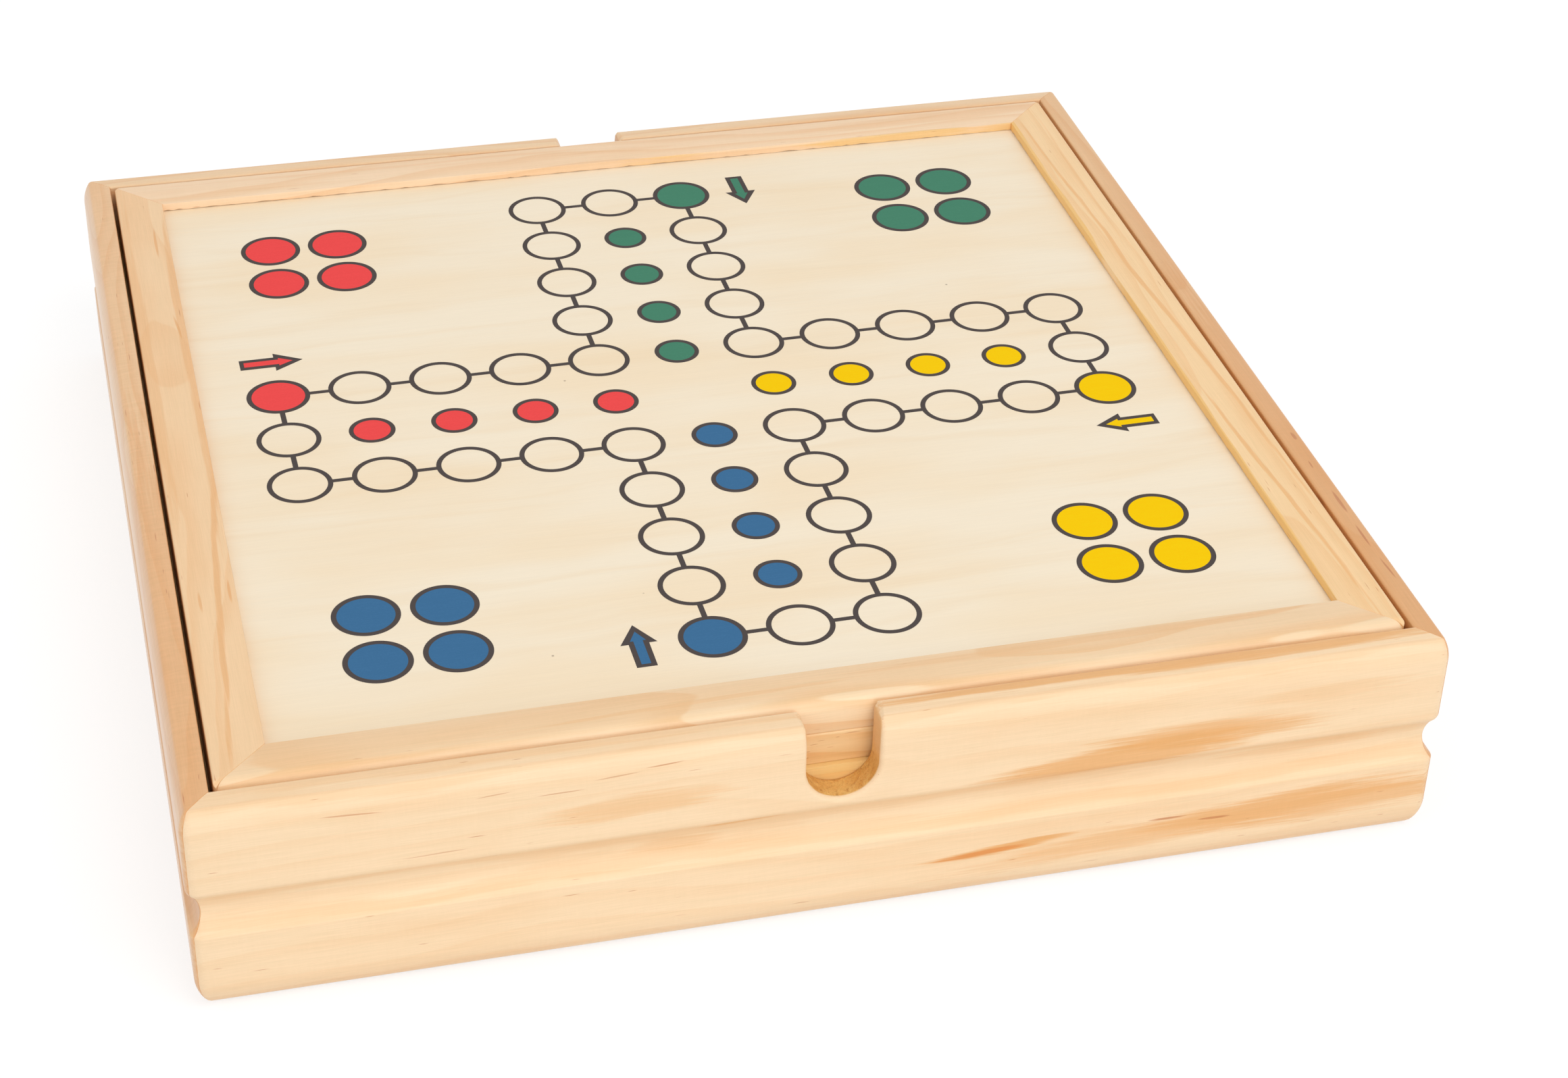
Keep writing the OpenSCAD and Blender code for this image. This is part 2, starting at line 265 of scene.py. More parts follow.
def pine(name, turn=0, seed=0, tint=(1.0, 1.0, 1.0), rings=4.5, pith=(30.0, -46.0), bands=0.55, heart=0.3,
         flecks=0.3, ripple=0.03, rough=0.42, coat=0.16, half=BOX_HALF, front=(), top=(), notch=False):
    """Lacquered pine with its grain along a bar. Its front and its top can carry marks of their own:
    (x, height or depth, half length, half width, slope, share, colour), in millimetres on the bar.
    A wall with a notch is torn and browner where the notch was sawn."""
    g = Graph(name)
    at = g.place(turn)
    moved = g.elsewhere(at, seed)
    parts = g.add("ShaderNodeSeparateXYZ", {0: at})

    # Pale wood with darker rings, broad bands and clouds
    late = growth_rings(g, at, moved, half, pith, rings)
    broad = g.smooth(g.noise(g.stretch(moved, 240, 16), detail=1.5), 0.32, 0.68)
    color = g.mix(g.times(late, bands), PALE, BAND)
    color = g.mix(g.times(broad, 0.45 * bands), color, BAND)
    cloud = g.noise(g.stretch(moved, 55, 11), detail=2.0)
    color = g.mix(g.times(g.smooth(cloud, 0.45, 0.8), 0.30), color, BAND)

    # Heartwood: darker lengthwise streaks that fade at their ends
    thick = g.noise(g.stretch(moved, 150, 9), detail=4.0, roughness=0.6)
    color = g.mix(g.times(g.smooth(thick, 0.58, 0.74), heart), color, HEART)

    # Marks listed for each bar: wood figure, and on some bars bands of painted shade along an edge or crease
    color = marked(g, moved, parts, half, front, top, color)
    color = flecked(g, moved, flecks, color)
    relief = 0.0
    if notch:
        color, relief = sawn(g, moved, parts, color)

    # Fibres, and the faint marks that planing leaves across them
    fibre = g.noise(g.stretch(moved, 11, 0.24), detail=2.5, roughness=0.6)
    strand = g.noise(g.stretch(moved, 48, 1.0), detail=3.0, roughness=0.6)
    chatter = g.noise(g.stretch(moved, 0.8, 5.0), detail=1.5)
    veil = g.math("MULTIPLY_ADD", fibre, 0.17, 0.880 - 0.5 * ripple)
    veil = g.math("MULTIPLY_ADD", strand, 0.07, veil)
    veil = g.math("MULTIPLY_ADD", chatter, ripple, veil)
    color = g.shaded(color, veil, g.math("POWER", veil, 1.6))
    color = g.tinted(color, tint)
    normal = g.bump(g.math("ADD", g.math("MULTIPLY_ADD", chatter, 10 * ripple, fibre), relief), 0.035)
    gloss = g.math("MULTIPLY_ADD", fibre, 0.16, rough - 0.08)
    return g.surface(color, normal, roughness=gloss, coat_weight=coat, coat_roughness=0.22)


def sawn(g, moved, parts, color):
    """The inside of a finger notch: torn grain, golden brown low down at both sides."""
    across = g.math("ABSOLUTE", parts.outputs[0])
    below = g.math("MINIMUM", g.math("SUBTRACT", parts.outputs[2], NOTCH_MIDDLE), 0.0)
    reach = g.math("SQRT", g.math("ADD", g.math("POWER", across, 2.0), g.math("POWER", below, 2.0)))
    depth = g.math("ADD", parts.outputs[1], BOX_HALF)
    inside = g.times(g.smooth(reach, NOTCH_R + 0.45, NOTCH_R + 0.15), g.smooth(depth, 0.7, 1.5))
    inside = g.times(inside, g.smooth(depth, WALL_T - 0.2, WALL_T - 0.7))
    torn = g.noise(g.stretch(moved, 1.1, 1.5, 1.1), detail=5.0, roughness=0.7)
    blotch = g.noise(g.stretch(moved, 4.5, 3.0, 4.5), detail=3.0, roughness=0.6)
    low = g.smooth(parts.outputs[2], 51.0, 43.0)
    aside = g.math("MULTIPLY_ADD", g.smooth(across, 2.0, 6.0), 0.42, 0.28)
    brown = g.times(g.times(low, aside), g.smooth(blotch, 0.32, 0.58))
    deep = g.times(g.smooth(torn, 0.52, 0.68), g.times(low, 0.55))
    wood = g.mix(low, linear(236, 188, 132), linear(253, 206, 124))
    wood = g.mix(brown, wood, linear(224, 156, 68))
    wood = g.mix(deep, wood, linear(188, 116, 42))
    relief = g.times(torn, g.math("MULTIPLY_ADD", low, 20.0, 2.0))
    relief = g.times(relief, inside)
    return g.mix(inside, color, wood), relief


def plywood(name, seed=0, tint=(1.0, 1.0, 1.0)):
    """Pale rotary cut veneer: faint long grain, soft clouds and a few tiny dark specks."""
    g = Graph(name)
    moved = g.elsewhere(g.place(), seed)
    wander = g.noise(g.stretch(moved, 120, 30), detail=3.0, output="Color")
    bent = g.vector("ADD", moved, g.vector("MULTIPLY", wander, (0, 34, 8)))
    figure = g.noise(g.stretch(bent, 150, 8.0), detail=3.0, roughness=0.55)
    fibre = g.noise(g.stretch(moved, 14, 0.35), detail=3.0, roughness=0.6)
    cloud = g.noise(g.stretch(moved, 80, 26), detail=2.0)
    color = g.mix(g.smooth(cloud, 0.34, 0.7), linear(251, 236, 210), linear(250, 229, 196))
    color = g.mix(g.times(g.smooth(figure, 0.46, 0.76), 0.26), color, linear(242, 211, 166))
    away, drawn_cell = g.cells(g.stretch(moved, 13, 13))
    speck = g.times(g.smooth(away, 0.034, 0.014), g.math("LESS_THAN", drawn_cell, 0.16))
    color = g.mix(g.times(speck, 0.6), color, linear(120, 90, 60))
    color = g.shaded(color, g.math("MULTIPLY_ADD", fibre, 0.08, 0.96))
    color = g.tinted(color, tint)
    normal = g.bump(fibre, 0.02)
    return g.surface(color, normal, roughness=0.5)


def ink(name, color, worn=0.12):
    """Ink printed on wood: even and matt, with the grain showing through a little and a few pinholes."""
    g = Graph(name)
    at = g.place()
    fibre = g.noise(g.stretch(at, 9, 0.4), detail=3.0, roughness=0.6)
    grain = g.noise(g.stretch(at, 0.5, 0.5), detail=2.0)
    pale = tuple(min(1.12 * c + 0.004, 1.0) for c in color)
    away, drawn_cell = g.cells(g.stretch(at, 2.4, 2.4))
    hole = g.times(g.smooth(away, 0.10, 0.05), g.math("LESS_THAN", drawn_cell, 0.03))
    share = g.times(g.smooth(g.math("ADD", fibre, grain), 0.9, 1.3), worn * 3)
    color = g.mix(g.math("MAXIMUM", share, hole), color, pale)
    normal = g.bump(fibre, 0.012)
    return g.surface(color, normal, roughness=0.65, specular_ior_level=0.05)


def paint(name, color, dark):
    """Gloss paint on a turned pawn, a little thinner along its edges."""
    g = Graph(name)
    at = g.place()
    wave = g.noise(g.stretch(at, 5, 5), detail=2.0)
    orange_peel = g.noise(g.stretch(at, 0.9, 0.9), detail=2.0)
    edge = g.add("ShaderNodeNewGeometry").outputs["Pointiness"]
    color = g.mix(g.times(g.smooth(wave, 0.35, 0.7), 0.5), color, dark)
    color = g.mix(g.times(g.smooth(edge, 0.54, 0.62), 0.35), color, linear(236, 214, 180))
    normal = g.bump(orange_peel, 0.02, 0.5)
    return g.surface(color, normal, roughness=0.24, coat_weight=0.5, coat_roughness=0.08)


def die_plastic(name):
    """Polished cream plastic with faint clouds."""
    g = Graph(name)
    at = g.place()
    cloud = g.noise(g.stretch(at, 6, 6), detail=3.0)
    color = g.mix(g.smooth(cloud, 0.35, 0.7), linear(246, 243, 234), linear(240, 235, 222))
    normal = g.bump(g.noise(g.stretch(at, 1.5, 1.5)), 0.008, 0.5)
    return g.surface(color, normal, roughness=0.22, coat_weight=0.3, coat_roughness=0.06)


def turned_wood(name, pale, deep, seed=0):
    """Stained wood turned on a lathe, with straight grain across the face."""
    g = Graph(name)
    moved = g.elsewhere(g.place(), seed)
    fibre = g.noise(g.stretch(moved, 7, 0.35, 3), detail=4.0, roughness=0.65)
    figure = g.noise(g.stretch(moved, 22, 2.4, 8), detail=3.0)
    color = g.mix(g.smooth(figure, 0.35, 0.66), pale, deep)
    color = g.shaded(color, g.math("MULTIPLY_ADD", fibre, 0.30, 0.84))
    normal = g.bump(fibre, 0.04, 0.7)
    return g.surface(color, normal, roughness=0.36, coat_weight=0.25, coat_roughness=0.2)


# Mesh pieces

def make_piece(name, points, faces, body, material, turn=0, smooth_angle=28):
    """A closed mesh from points in millimetres, turned about Z, that rides on a body."""
    a = math.radians(turn)
    p = np.asarray(points, float) * MM
    x = p[:, 0] * math.cos(a) - p[:, 1] * math.sin(a)
    y = p[:, 0] * math.sin(a) + p[:, 1] * math.cos(a)
    mesh = bpy.data.meshes.new(name)
    mesh.from_pydata(np.c_[x, y, p[:, 2]].tolist(), [], [list(map(int, f)) for f in faces])
    work = bmesh.new()
    work.from_mesh(mesh)
    bmesh.ops.remove_doubles(work, verts=work.verts, dist=2e-6)
    bmesh.ops.recalc_face_normals(work, faces=work.faces)
    work.to_mesh(mesh)
    work.free()
    mesh.polygons.foreach_set("use_smooth", [True] * len(mesh.polygons))
    mesh.set_sharp_from_angle(angle=math.radians(smooth_angle))
    mesh.materials.append(material)
    piece = bpy.data.objects.new(name, mesh)
    bpy.context.scene.collection.objects.link(piece)
    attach(piece, body)
    return piece


def arc(cx, cz, radius, start, stop, steps):
    """Points of an arc, angles in degrees."""
    angles = np.radians(np.linspace(start, stop, steps + 1))
    return np.c_[cx + radius * np.cos(angles), cz + radius * np.sin(angles)]


def outer_profile():
    """The outer face of a wall from its foot to the flat of its top: depth below the face, and height."""
    cove_out = COVE_R - COVE_D
    foot = math.degrees(math.asin(FOOT_ROUND_H / EDGE_R))
    parts = [arc(EDGE_R, FOOT_ROUND_H, EDGE_R, 180 + foot, 180, 9)]
    touch = {}
    for radius, sign in ((LOWER_LIP_R, -1), (UPPER_LIP_R, 1)):
        rise = math.sqrt((COVE_R + radius) ** 2 - (cove_out + radius) ** 2)
        touch[sign] = (rise, math.degrees(math.atan2(rise, cove_out + radius)))
    rise, angle = touch[-1]
    parts.append(arc(LOWER_LIP_R, COVE_H - rise, LOWER_LIP_R, 180, 180 - angle, 6))
    parts.append(arc(-cove_out, COVE_H, COVE_R, -angle, touch[1][1], 16)[1:-1])
    rise, angle = touch[1]
    parts.append(arc(UPPER_LIP_R, COVE_H + rise, UPPER_LIP_R, 180 + angle, 180, 8))
    parts.append(arc(EDGE_R, WALL_H - TOP_ROUND_H, EDGE_R, 180, TOP_ROUND_END, 10))

    # The round turns into the bevel of the top in a soft curve about the crease between them
    before = parts[-1][-1]
    after = np.array([BEVEL_START, WALL_H - BEVEL_DROP + BEVEL_DROP * BEVEL_START / BEVEL_W])
    steps = np.linspace(0, 1, 6)[1:, None]
    parts.append((1 - steps) ** 2 * before + 2 * steps * (1 - steps) * np.array(CREASE) + steps ** 2 * after)
    parts.append([[BEVEL_W, WALL_H]])
    return np.concatenate([np.asarray(p, float) for p in parts])


def inner_profile():
    """The inner face of a wall from its top arris down to the base groove, and back under the foot."""
    arris = arc(WALL_T - ARRIS_R, WALL_H - ARRIS_R, ARRIS_R, 90, 0, 5)
    rest = [[WALL_T, GROOVE_TOP], [GROOVE_FLOOR, GROOVE_TOP], [GROOVE_FLOOR, GROOVE_BOTTOM],
            [WALL_T, GROOVE_BOTTOM], [WALL_T, FOOT_EASE], [WALL_T - FOOT_EASE, 0.0]]
    return np.concatenate([arris, np.array(rest)])


def shrink(section, by):
    """A closed section with every side moved inwards by the same distance."""
    before = section - np.roll(section, 1, 0)
    after = np.roll(section, -1, 0) - section
    before /= np.linalg.norm(before, axis=1)[:, None]
    after /= np.linalg.norm(after, axis=1)[:, None]
    area = np.sum(section[:, 0] * np.roll(section[:, 1], -1) - np.roll(section[:, 0], -1) * section[:, 1])
    turn = np.array([[0, 1], [-1, 0]]) * (1 if area > 0 else -1)
    inward = before @ turn + after @ turn
    inward /= np.maximum(np.sum(inward * (before @ turn), axis=1), 0.35)[:, None]
    return section + by * inward


# Steps towards a mitre where a corner or the end of a rail is rounded, in millimetres
CORNER_STEPS = (3.0, 2.6, 2.2, 1.8, 1.4, 1.0, 0.7, 0.4, 0.2, 0.0)


def no_notch(z):
    """The right half of a bar without a notch begins at its middle, whatever the height z."""
    return 0.0


def bar(section, half, corner, near=(0.0,), start=no_notch, columns=3):
    """The right half of a mitred bar as a grid: a row for every point of its section, a column for every
    step from the middle, or from the edge of a notch, to the mitre. The last column turns into the mitre.
    The upright corner at the mitre is rounded, less and less with the depth below the outer face."""
    section = np.asarray(section, float)
    cap = shrink(section, MITRE_V)
    far = len(near) + columns + len(CORNER_STEPS) - 1
    grid = np.zeros((len(section), far + 1, 3))
    for i, (depth, z) in enumerate(section):
        begin = start(z)
        end = half - depth - MITRE_V
        x = list(begin + np.asarray(near))
        x += list(np.linspace(x[-1], end - CORNER_STEPS[0], columns + 1)[1:])
        x += [end - step for step in CORNER_STEPS[1:]]
        grid[i, :far, 0] = x
        grid[i, :far, 1] = depth - half
        grid[i, :far, 2] = z
        grid[i, far] = (half - cap[i, 0], cap[i, 0] - half, cap[i, 1])
        radius = corner - depth
        if radius > MITRE_V:
            middle = half - depth - radius
            for j in range(far):
                if grid[i, j, 0] > middle:
                    turn = math.radians(45) * (grid[i, j, 0] - middle) / radius
                    grid[i, j, 0] = middle + radius * math.sin(turn)
                    grid[i, j, 1] = -middle - radius * math.cos(turn)
        inner = max(corner - cap[i, 0], 0.0) * (1 - math.sqrt(0.5))
        grid[i, far, 0] -= inner
        grid[i, far, 1] += inner
    return grid


def grid_faces(rows, columns, closed, first=0):
    """Quads of a grid of points that is numbered row by row."""
    last = rows if closed else rows - 1
    return [[first + i * columns + j, first + i * columns + j + 1,
             first + (i + 1) % rows * columns + j + 1, first + (i + 1) % rows * columns + j]
            for i in range(last) for j in range(columns - 1)]


def bar_faces(rows, columns):
    """The faces of half a bar, and the cap that closes it inside its mitre."""
    return grid_faces(rows, columns, True) + [[i * columns + columns - 1 for i in range(rows)]]


def mirrored(points, faces):
    """The right half and its mirror image, as one set of points and faces."""
    other = points * (-1, 1, 1)
    flipped = [[len(points) + v for v in reversed(face)] for face in faces]
    return np.concatenate([points, other]), faces + flipped


def plain_bar(name, section, half, corner, turn, lift, body, material, columns=3, torn=None, front=0.0):
    """A mitred bar. Its lower inner edge can be torn a little, as a saw leaves it: torn is a seed.
    On a side rail, the round of the board's front edge can run on across its front end."""
    grid = bar(section, half, corner, columns=columns)
    rows, columns, _ = grid.shape
    points = grid.reshape(-1, 3)
    points, faces = mirrored(points, bar_faces(rows, columns))
    if torn is not None:
        drawn = np.random.RandomState(torn)
        knots = np.arange(-150.0, 151.0, TEAR_STEP)
        bites = TEAR_H * drawn.uniform(0, 1, len(knots)) ** 3
        inner_face = abs(points[:, 1] - RAIL_W + half) < 1e-6
        lip = inner_face & (abs(points[:, 2] - PANEL_LIFT - PANEL_SLOT) < 1e-6)
        points[lip, 2] += np.interp(points[lip, 0], knots, bites)
    if front:
        to_front = half + points[:, 0] * (1 if turn == TURNS["right"] else -1)
        over = np.clip(front - to_front, 0, front)
        points[:, 2] = np.minimum(points[:, 2], BOARD_T - front + np.sqrt(front ** 2 - over ** 2))
    return make_piece(name, points + (0, 0, lift), faces, body, material, turn)


def notch_edge(z):
    """Half the width of the notch at a height."""
    if z <= NOTCH_BOTTOM:
        return 0.0
    if z < NOTCH_MIDDLE:
        return math.sqrt(max(NOTCH_R ** 2 - (NOTCH_MIDDLE - z) ** 2, 0.0))
    if z < MOUTH:
        return NOTCH_R
    return NOTCH_R + SHOULDER_R - math.sqrt(max(SHOULDER_R ** 2 - (z - MOUTH) ** 2, 0.0))


def outward(x, z):
    """Distance from the notch's edge, and the direction away from its middle."""
    if z >= NOTCH_MIDDLE:
        return abs(x) - notch_edge(z), 1.0, 0.0
    reach = math.hypot(x, z - NOTCH_MIDDLE)
    return reach - NOTCH_R, x / reach, (z - NOTCH_MIDDLE) / reach


def eased(step, radius):
    """Where a point at a signed step from a square arris goes when the arris is rounded."""
    turn = math.radians(90) * (radius - step) / (2 * radius)
    return radius - radius * math.sin(turn), radius - radius * math.cos(turn)


# Rows below this height are not near the notch
UNDER_NOTCH = 30.0
# Rows and columns of the notched walls' meshes, in millimetres from an arris: below the notch, beside
# it, and through the cut from the outer to the inner face
BELOW_OUTER = (0.12, 0.25, 0.4, 0.55, 0.75, 1.0)
BELOW_INNER = (0.12, 0.25, 0.4, 0.6, 1.0)
BESIDE_NOTCH = (0, 0.12, 0.25, 0.4, 0.55, 0.75, 1.0, 1.3, 1.8, 2.6, 4.0, 7.0, 12.0)
THROUGH_CUT = (0, 0.12, 0.25, 0.4, 0.55, 0.75, 1.0, 1.25, 1.4, 2.1, 3.0, 3.9, 4.8, 5.7, 6.4, 6.8, 7.1, 7.25,
               7.4, 7.55, 7.68, 7.8)


def notch_levels(outer, inner):
    """The heights of the rows beside the notch, from its lowest point to the top of the wall."""
    straight = 53.2
    levels = list(NOTCH_MIDDLE - NOTCH_R * np.cos(np.radians(np.arange(0, 91, 6)))) + [49.0, 51.0, 53.0]
    levels += [z for _, z in outer if z > straight] + [z for _, z in inner if z > straight]
    levels += list(MOUTH + SHOULDER_R * np.sin(np.radians([0, 15, 30, 42, 52, 61, 69, 76, 83])))
    levels = sorted(levels)
    kept = [levels[0]]
    for z in levels[1:]:
        if z - kept[-1] > 0.012 or z > WALL_H - 1e-6 > kept[-1]:
            kept.append(min(z, WALL_H))
    return [z for z in kept if z < WALL_H - 0.004] + [WALL_H]


def notched_wall(name, turn, material, seed):
    """A wall with a U shaped finger notch. All of its arrises at the notch are softly rounded."""
    outer, inner = outer_profile(), inner_profile()
    levels = notch_levels(outer, inner)
    arris_points = 6
    inner_up = inner[:arris_points][::-1]

    def depth_out(z):
        return float(np.interp(z, outer[:, 1], outer[:, 0]))

    def depth_in(z):
        return float(np.interp(z, inner_up[:, 1], inner_up[:, 0]))

    below_out = [z for _, z in outer if z < NOTCH_BOTTOM - BELOW_OUTER[-1] - 0.02]
    below_out = sorted(below_out + [NOTCH_BOTTOM - step for step in BELOW_OUTER])
    shares = np.array(THROUGH_CUT) / WALL_T
    flat = [depth_out(WALL_H) + s * (depth_in(WALL_H) - depth_out(WALL_H)) for s in shares]
    section = [(depth_out(z), z) for z in below_out]
    first_open = len(section)
    last_front = first_open + len(levels)
    section += [(depth_out(z), z) for z in levels]
    section += [(d, WALL_H) for d in flat[1:-1]]
    section += [(depth_in(z), z) for z in reversed(levels)]
    last_open = len(section) - 1
    section += [(WALL_T, NOTCH_BOTTOM - step) for step in BELOW_INNER]
    section += [tuple(p) for p in inner[arris_points:]]
    grid = bar(section, BOX_HALF, CORNER_R, BESIDE_NOTCH, notch_edge)
    rows, columns, _ = grid.shape

    def radius_at(z, radius, depth_at):
        """The rounding dies out where a shoulder turns into the top of the wall."""
        slope = (depth_at(z) - depth_at(z - 0.05)) / 0.05
        lean = abs(slope) / math.hypot(1.0, slope)
        over = min(max((z - MOUTH) / SHOULDER_R, 0.0), 1.0)
        return max(radius * (1 - lean * over) ** 2, 0.02)

    for i in range(rows):
        depth, z = section[i]
        if WALL_T - 0.01 < depth and z > UNDER_NOTCH:
            radius, sign = radius_at(z, INNER_ARRIS, depth_in), -1
        elif z > UNDER_NOTCH and i < last_front:
            radius, sign = radius_at(z, OUTER_ARRIS, depth_out), 1
        else:
            continue
        for j in range(columns - 2):
            step, ax, az = outward(grid[i, j, 0], z)
            if step < radius and z < WALL_H - 0.01:
                aside, into = eased(max(step, 0.0), radius)
                grid[i, j] += ((aside - step) * ax, sign * into, (aside - step) * az)

    # The cut through the wall, with a slightly torn surface
    drawn = np.random.RandomState(seed)
    cut = np.zeros((len(levels), len(shares), 3))
    for k, z in enumerate(levels):
        face, back, x = depth_out(z), depth_in(z), notch_edge(z)
        _, ax, az = outward(max(x, 1e-9), min(z, NOTCH_MIDDLE))
        for j, share in enumerate(shares):
            depth = face + share * (back - face)
            rough = 4 < j < len(shares) - 5 and k > 0 and z < 55
            aside = float(drawn.uniform(-0.07, 0.07)) if rough else 0.0
            radius = radius_at(z, OUTER_ARRIS, depth_out)
            rest = radius_at(z, INNER_ARRIS, depth_in)
            if depth - face < radius:
                aside, into = eased(face - depth, radius)
                depth = face + into
            elif back - depth < rest:
                aside, into = eased(depth - back, rest)
                depth = back - into
            cut[k, j] = (x + aside * ax, depth - BOX_HALF, z + aside * az)
    cut[:, 0] = grid[first_open:last_front, 0]
    cut[:, -1] = grid[last_front + len(flat) - 2:last_open + 1, 0][::-1]
    cut[-1, 1:-1] = grid[last_front:last_front + len(flat) - 2, 0]
    cut[0, :, 0] = 0.0

    points = np.concatenate([grid.reshape(-1, 3), cut.reshape(-1, 3)])
    faces = bar_faces(rows, columns) + grid_faces(len(levels), len(shares), False, rows * columns)
    points, faces = mirrored(points, faces)
    return make_piece(name, points, faces, "box", material, turn, smooth_angle=40)


def rail_section(round_r):
    """Section of a frame rail, from its outer face inwards and from its underside up."""
    ease = 0.5
    slot_z = PANEL_LIFT + PANEL_SLOT
    slot_x = RAIL_W - PANEL_GROOVE_D
    steps = 8 if round_r > 1 else 4
    parts = [
        [[ease, 0.0], [ease * 0.3, ease * 0.3], [0.0, ease]],
        arc(round_r, BOARD_T - round_r, round_r, 180, 90, steps),
        [[depth, BOARD_T] for depth in (1.0, 1.4, 1.8, 2.2, 2.6, 3.2) if depth > round_r],
        [[RAIL_W - 0.3, BOARD_T], [RAIL_W - 0.08, BOARD_T - 0.08], [RAIL_W, BOARD_T - 0.3]],
        [[RAIL_W, slot_z], [slot_x, slot_z], [slot_x, PANEL_LIFT], [RAIL_W, PANEL_LIFT]],
        [[RAIL_W, ease], [RAIL_W - ease * 0.3, ease * 0.3], [RAIL_W - ease, 0.0]],
    ]
    return np.concatenate([np.asarray(p, float) for p in parts])


# How far the ink reaches into its panel, in millimetres
INK_SINK = 0.03


class Print:
    """Thin closed prisms of ink, gathered into one mesh for each colour."""

    def __init__(self, top, turn=0.0, shift=(0.0, 0.0)):
        self.top = top
        self.turn = math.radians(turn)
        self.shift = shift
        self.points = []
        self.faces = []

    def prism(self, outline, height):
        n = len(outline)
        first = len(self.points)
        for z in (self.top - INK_SINK, self.top + height):
            self.points += [(x, y, z) for x, y in outline]
        self.faces.append([first + i for i in reversed(range(n))])
        self.faces.append([first + n + i for i in range(n)])
        for i in range(n):
            j = (i + 1) % n
            self.faces.append([first + i, first + j, first + n + j, first + n + i])

    def disc(self, x, y, radius, height, steps=56):
        angles = np.linspace(0, 2 * math.pi, steps, endpoint=False)
        self.prism(list(zip(x + radius * np.cos(angles), y + radius * np.sin(angles))), height)

    def ring(self, x, y, inner, outer, height, steps=64):
        first = len(self.points)
        loops = ((outer, -INK_SINK), (outer, height), (inner, height), (inner, -INK_SINK))
        for radius, z in loops:
            for i in range(steps):
                a = 2 * math.pi * i / steps
                self.points.append((x + radius * math.cos(a), y + radius * math.sin(a), self.top + z))
        for k in range(4):
            row = first + k * steps
            next_row = first + (k + 1) % 4 * steps
            for i in range(steps):
                j = (i + 1) % steps
                self.faces.append([row + i, row + j, next_row + j, next_row + i])

    def line(self, x0, y0, x1, y1, width, height):
        length = math.hypot(x1 - x0, y1 - y0)
        nx, ny = -(y1 - y0) / length * width / 2, (x1 - x0) / length * width / 2
        self.prism([(x0 - nx, y0 - ny), (x1 - nx, y1 - ny), (x1 + nx, y1 + ny), (x0 + nx, y0 + ny)], height)

    def piece(self, name, body, material):
        x, y, z = np.array(self.points).T
        turned_x = x * math.cos(self.turn) - y * math.sin(self.turn) + self.shift[0]
        turned_y = x * math.sin(self.turn) + y * math.cos(self.turn) + self.shift[1]
        return make_piece(name, np.c_[turned_x, turned_y, z], self.faces, body, material)


# The ludo print, in steps of the field pitch from the middle of the board
PITCH = 22.0
FIELD_IN = 0.325
FIELD_OUT = 0.386
HOME_IN = 0.223
HOME_OUT = 0.280
LINK_W = 0.064
YARD = (3.76, 4.64)
# Heights of the ink over the panel, in millimetres: outlines lie over fills, and an arrow's fill over both
RING_INK = 0.040
LINK_INK = 0.034
FILL_INK = 0.030
ARROW_INK = 0.045
SQUARE_INK = 0.035
# The chequered print: a square, the gap along its edges, and the half width and thickness of the lines
SQUARE = 30.0
SQUARE_GAP = 0.15
BORDER_LINES = ((121.2, 1.2), (124.6, 0.6))
COLORS = {
    "red": linear(244, 79, 79),
    "green": linear(73, 134, 108),
    "yellow": linear(255, 207, 0),
    "blue": linear(63, 112, 154),
}
# The print sits a little askew on its panel: degrees, and millimetres
PRINT_PLACE = (0.5, (-0.4, 0.05))
# Each colour's quarter turns from the left arm
ARMS = {"red": 0, "green": 3, "yellow": 2, "blue": 1}


def turned(x, y, quarters):
    for _ in range(quarters):
        x, y = -y, x
    return x, y


